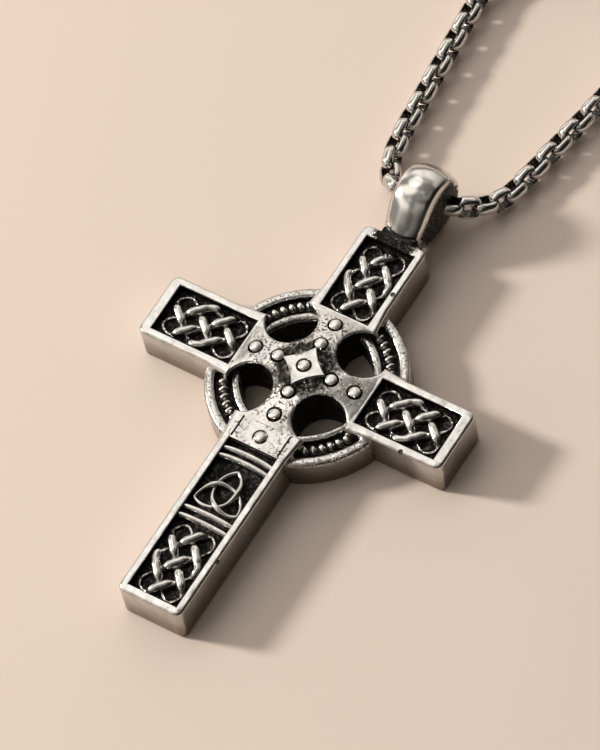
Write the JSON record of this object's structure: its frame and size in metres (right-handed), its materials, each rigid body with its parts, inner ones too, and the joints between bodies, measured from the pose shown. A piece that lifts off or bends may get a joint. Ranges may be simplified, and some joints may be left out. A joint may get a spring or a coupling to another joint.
{
  "type": "celtic cross pendant",
  "caption": "Ringed cross pendant with knotwork panels, a domed star centre and a tulip bail, lying face up on its box chain.",
  "frame": {"origin": "on the flat back of the cross, under the point where the arms' centre lines cross", "axes": "+X along the right arm, +Y up the cross towards the bail, +Z out of the face"},
  "size_m": [0.0544, 0.0974, 0.0075],
  "materials": {
    "cast_steel": "cast and polished, with black oxidised recesses",
    "polished_steel": "mirror polish with fine scratches",
    "chain_steel": "polished, dark between the links"
  },
  "bodies": {
    "root": {"cross": "cast_steel", "bail": "polished_steel", "chain_coil": "chain_steel", "clasp": "polished_steel", "link_01": "chain_steel", "link_02": "chain_steel", "link_03": "chain_steel", "link_04": "chain_steel", "link_05": "chain_steel", "link_06": "chain_steel", "link_07": "chain_steel", "link_08": "chain_steel", "link_09": "chain_steel", "link_10": "chain_steel", "link_11": "chain_steel", "link_12": "chain_steel", "link_13": "chain_steel", "link_14": "chain_steel", "link_15": "chain_steel", "link_16": "chain_steel", "link_17": "chain_steel", "link_18": "chain_steel", "link_19": "chain_steel", "link_20": "chain_steel", "link_21": "chain_steel", "link_22": "chain_steel", "link_23": "chain_steel", "link_24": "chain_steel", "link_25": "chain_steel", "link_26": "chain_steel", "link_27": "chain_steel", "link_28": "chain_steel", "link_29": "chain_steel", "link_30": "chain_steel", "link_31": "chain_steel", "link_32": "chain_steel"}
  },
  "joints": []
}
